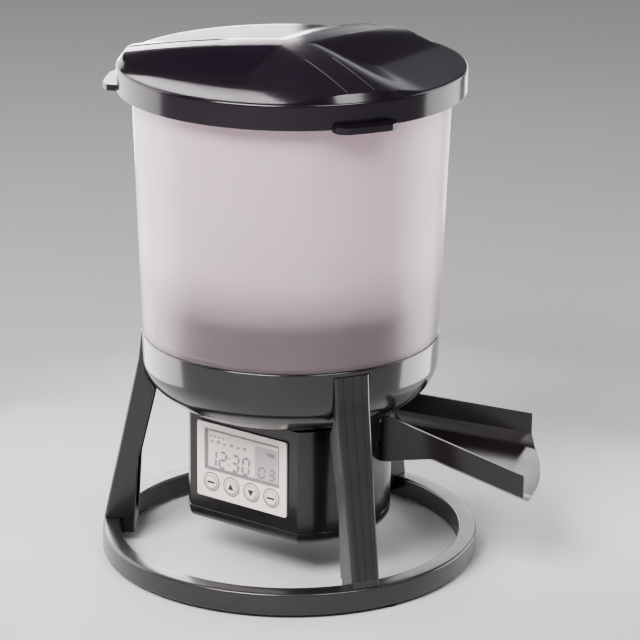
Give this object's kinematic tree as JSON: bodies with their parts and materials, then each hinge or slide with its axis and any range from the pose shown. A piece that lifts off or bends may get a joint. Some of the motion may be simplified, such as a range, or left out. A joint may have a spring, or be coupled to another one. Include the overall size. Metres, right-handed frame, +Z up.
{
  "type": "automatic fish feeder",
  "caption": "Round feed hopper with a domed lid on a legged ring stand, with a drum-shaped control housing under it and a sloping side chute that throws feed into a tank or pond.",
  "frame": {"origin": "centre of the bounding box's bottom face, on the plane the foot pads stand on", "axes": "+Z up along the hopper, -Y towards the control panel, +X to the side the chute leaves by"},
  "size_m": [0.3038, 0.267, 0.3585],
  "materials": {
    "black_plastic": "gloss",
    "lid_plastic": "gloss",
    "clear_plastic": "milky clear",
    "inner_plastic": "matte",
    "panel_film": "satin film",
    "key_plastic": "satin",
    "display_glass": "clear",
    "display_frame": "satin",
    "board_green": "satin",
    "rubber": "matte",
    "steel": "brushed",
    "brass": "satin",
    "gear_nylon": "matte",
    "cell_wrap": "gloss"
  },
  "bodies": {
    "feeder": {"base_bowl": "black_plastic", "base_cover": "black_plastic", "base_ring": "black_plastic", "battery_1": "cell_wrap", "battery_2": "cell_wrap", "battery_3": "cell_wrap", "battery_4": "cell_wrap", "battery_contact_1": "steel", "battery_contact_2": "steel", "battery_tray": "inner_plastic", "chute": "black_plastic", "chute_screw_1": "steel", "chute_screw_2": "steel", "circuit_board": "board_green", "control_housing": "black_plastic", "cover_screw_1": "steel", "cover_screw_2": "steel", "cover_screw_3": "steel", "cover_screw_4": "steel", "foot_pad_1": "rubber", "foot_pad_2": "rubber", "foot_pad_3": "rubber", "front_panel": "panel_film", "funnel": "inner_plastic", "funnel_spout": "inner_plastic", "gearmotor": "steel", "hopper": "clear_plastic", "hopper_seal": "rubber", "lcd_module": "display_frame", "lcd_window": "display_glass", "leg_front_left": "black_plastic", "leg_front_right": "black_plastic", "leg_rear": "black_plastic", "lower_bush": "brass", "motor_bracket": "steel", "ring_screw_1": "steel", "ring_screw_2": "steel", "ring_screw_3": "steel", "thrower_housing": "inner_plastic", "upper_bush": "brass"},
    "lid": {"lid": "lid_plastic", "lid_seal": "rubber"},
    "menu_button": {"button_menu": "key_plastic"},
    "up_button": {"button_up": "key_plastic"},
    "down_button": {"button_down": "key_plastic"},
    "enter_button": {"button_enter": "key_plastic"},
    "rotor": {"drive_shaft": "steel", "drive_gear": "gear_nylon", "thrower_wheel": "inner_plastic", "dosing_disc": "gear_nylon", "stirrer": "inner_plastic"},
    "pinion": {"motor_pinion": "gear_nylon"},
    "battery_cover": {"battery_door": "black_plastic"}
  },
  "joints": [
    {"name": "lid_lift", "type": "slide", "parent": "feeder", "child": "lid", "axis": [0, 0, 1], "range_m": [0, 0.06]},
    {"name": "menu_press", "type": "slide", "parent": "feeder", "child": "menu_button", "axis": [0, 1, 0], "range_m": [0, 0.0008], "stiffness_N_per_m": 800},
    {"name": "up_press", "type": "slide", "parent": "feeder", "child": "up_button", "axis": [0, 1, 0], "range_m": [0, 0.0008], "stiffness_N_per_m": 800},
    {"name": "down_press", "type": "slide", "parent": "feeder", "child": "down_button", "axis": [0, 1, 0], "range_m": [0, 0.0008], "stiffness_N_per_m": 800},
    {"name": "enter_press", "type": "slide", "parent": "feeder", "child": "enter_button", "axis": [0, 1, 0], "range_m": [0, 0.0008], "stiffness_N_per_m": 800},
    {"name": "rotor_spin", "type": "hinge", "parent": "feeder", "child": "rotor", "pos_m": [-0.02189, -0.0035, 0.1], "axis": [0, 0, 1], "continuous": true},
    {"name": "pinion_spin", "type": "hinge", "parent": "feeder", "child": "pinion", "pos_m": [-0.04589, -0.0035, 0.08], "axis": [0, 0, 1], "continuous": true},
    {"name": "battery_door_drop", "type": "slide", "parent": "feeder", "child": "battery_cover", "axis": [0, 0, -1], "range_m": [0, 0.015]}
  ],
  "couplings": [
    {"joint": "pinion_spin", "follows": "rotor_spin", "ratio": -3}
  ]
}
